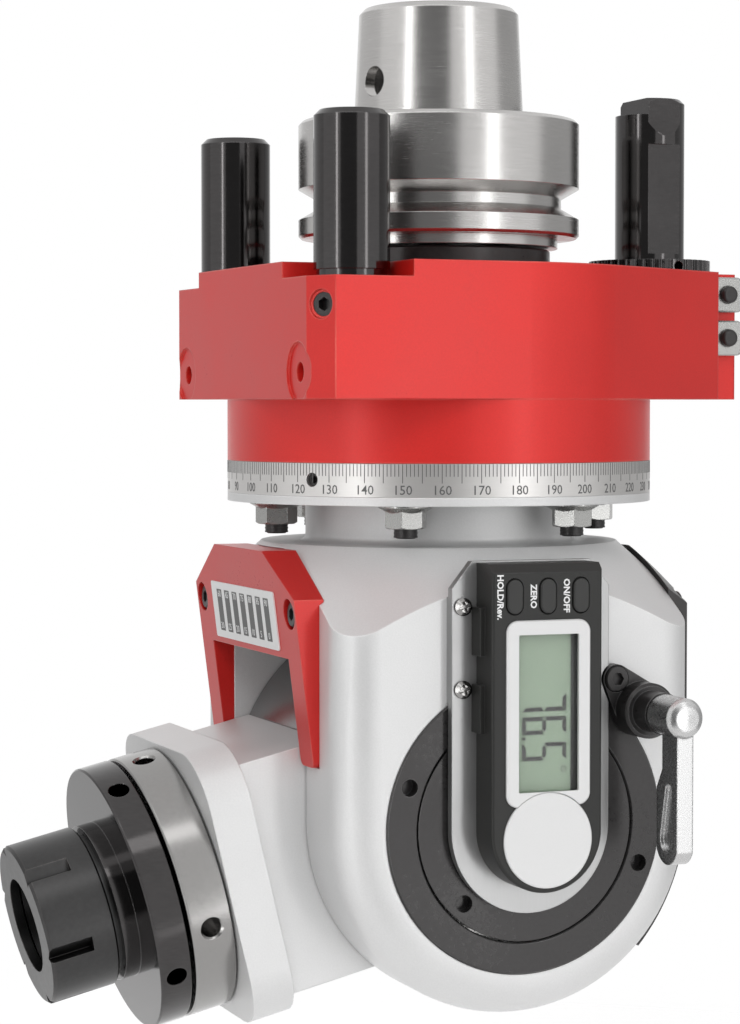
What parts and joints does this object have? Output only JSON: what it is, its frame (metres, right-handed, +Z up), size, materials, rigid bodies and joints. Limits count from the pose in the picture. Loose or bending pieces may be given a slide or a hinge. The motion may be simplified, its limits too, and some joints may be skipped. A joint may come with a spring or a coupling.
{
  "type": "angle head",
  "caption": "Swivelling right-angle milling head with hollow-taper shank, stop block and pins, tilting bevel-geared output spindle with collet nut, clamp lever and digital angle display.",
  "frame": {"origin": "centre of the shank's gauge face, on the input spindle's axis", "axes": "+Z up the shank towards the machine, -Y out of the side with the angle display, the output spindle points to -X at rest"},
  "size_m": [0.1699, 0.12, 0.2233],
  "materials": {
    "cast_steel": "satin",
    "red_block": "red anodised",
    "red_guard": "red anodised, satin",
    "black_oxide": "black oxide",
    "bright_steel": "ground",
    "gear_steel": "ground",
    "plated_screws": "zinc plated",
    "chrome": "satin chrome",
    "ground_ring": "brushed",
    "label": "printed",
    "case_plastic": "matte",
    "button_plastic": "matte",
    "board": "matte",
    "lcd": "gloss",
    "cell": "bright",
    "bezel": "satin",
    "badge": "satin",
    "window": "clear",
    "seal": "matte"
  },
  "bodies": {
    "stop_block": {"stop_block": "red_block", "front_torque_pin": "black_oxide", "rear_torque_pin": "black_oxide", "index_pin": "black_oxide", "index_pin_collar": "black_oxide", "pin_grub_screws": "black_oxide", "clamp_pads": "plated_screws", "clamp_pad_screws": "black_oxide"},
    "housing": {"housing": "cast_steel", "scale_ring": "ground_ring", "scale_ring_screw": "black_oxide", "swivel_studs": "black_oxide", "swivel_nuts": "plated_screws", "bearing_cap": "black_oxide", "shaft_seal": "seal", "input_outer_races": "bright_steel", "pivot_ring": "black_oxide", "rear_pivot_cap": "black_oxide", "tilt_outer_races": "bright_steel", "idler_outer_races": "bright_steel", "slot_guard": "red_guard", "guard_screws": "plated_screws", "angle_label": "label", "side_cover": "black_oxide", "cover_screws": "plated_screws", "display_bracket": "cast_steel", "bracket_screws": "black_oxide", "display_case": "case_plastic", "display_board": "board", "display_panel": "lcd", "coin_cell": "cell", "display_bezel": "bezel", "display_window": "window", "display_badge": "badge", "clamp_link": "black_oxide", "link_screw": "plated_screws", "clamp_stud": "bright_steel"},
    "hold_button": {"hold_button": "button_plastic"},
    "zero_button": {"zero_button": "button_plastic"},
    "power_button": {"power_button": "button_plastic"},
    "clamp_lever": {"clamp_lever": "chrome"},
    "input_shaft": {"input_shaft": "bright_steel", "input_inner_races": "bright_steel", "shaft_spacer": "bright_steel", "input_pinion": "gear_steel"},
    "idler": {"idler_gear": "gear_steel", "idler_inner_races": "bright_steel"},
    "arm": {"arm_housing": "cast_steel", "pivot_disc": "cast_steel", "tilt_inner_races": "bright_steel", "encoder_shaft": "bright_steel", "spindle_outer_races": "bright_steel", "outer_spacer": "bright_steel", "bearing_nut": "cast_steel"},
    "ball_cages": {"ball_cages": "bright_steel"},
    "spindle": {"output_spindle": "bright_steel", "spindle_inner_races": "bright_steel", "output_pinion": "gear_steel", "spanner_ring": "black_oxide", "collet_nut": "black_oxide"}
  },
  "joints": [
    {"name": "swivel", "type": "hinge", "parent": "stop_block", "child": "housing", "pos_m": [0, 0, -0.08], "axis": [0, 0, 1], "continuous": true},
    {"name": "input_spin", "type": "hinge", "parent": "housing", "child": "input_shaft", "pos_m": [0, 0, 0], "axis": [0, 0, 1], "continuous": true},
    {"name": "idler_spin", "type": "hinge", "parent": "housing", "child": "idler", "pos_m": [0, 0, -0.1518], "axis": [0, 1, 0], "continuous": true},
    {"name": "tilt", "type": "hinge", "parent": "housing", "child": "arm", "pos_m": [0, 0, -0.1518], "axis": [0, 1, 0], "range_deg": [-76.5, 23.5]},
    {"name": "gear_roll", "type": "hinge", "parent": "arm", "child": "ball_cages", "pos_m": [0, 0, -0.1518], "axis": [-0.9724, 0, -0.2334], "range_deg": [-128, 40]},
    {"name": "spindle_spin", "type": "hinge", "parent": "ball_cages", "child": "spindle", "pos_m": [0, 0, -0.1518], "axis": [-0.9724, 0, -0.2334], "continuous": true},
    {"name": "lever_turn", "type": "hinge", "parent": "housing", "child": "clamp_lever", "pos_m": [0.0255, -0.06, -0.1278], "axis": [0, 1, 0], "range_deg": [-90, 0]},
    {"name": "hold_button_press", "type": "slide", "parent": "housing", "child": "hold_button", "axis": [0, 1, 0], "range_m": [0, 0.0006], "stiffness_N_per_m": 800},
    {"name": "zero_button_press", "type": "slide", "parent": "housing", "child": "zero_button", "axis": [0, 1, 0], "range_m": [0, 0.0006], "stiffness_N_per_m": 800},
    {"name": "power_button_press", "type": "slide", "parent": "housing", "child": "power_button", "axis": [0, 1, 0], "range_m": [0, 0.0006], "stiffness_N_per_m": 800}
  ],
  "couplings": [
    {"joint": "idler_spin", "follows": "input_spin", "ratio": -0.6},
    {"joint": "spindle_spin", "follows": "input_spin", "ratio": 1},
    {"joint": "gear_roll", "follows": "tilt", "ratio": 1.6667}
  ]
}
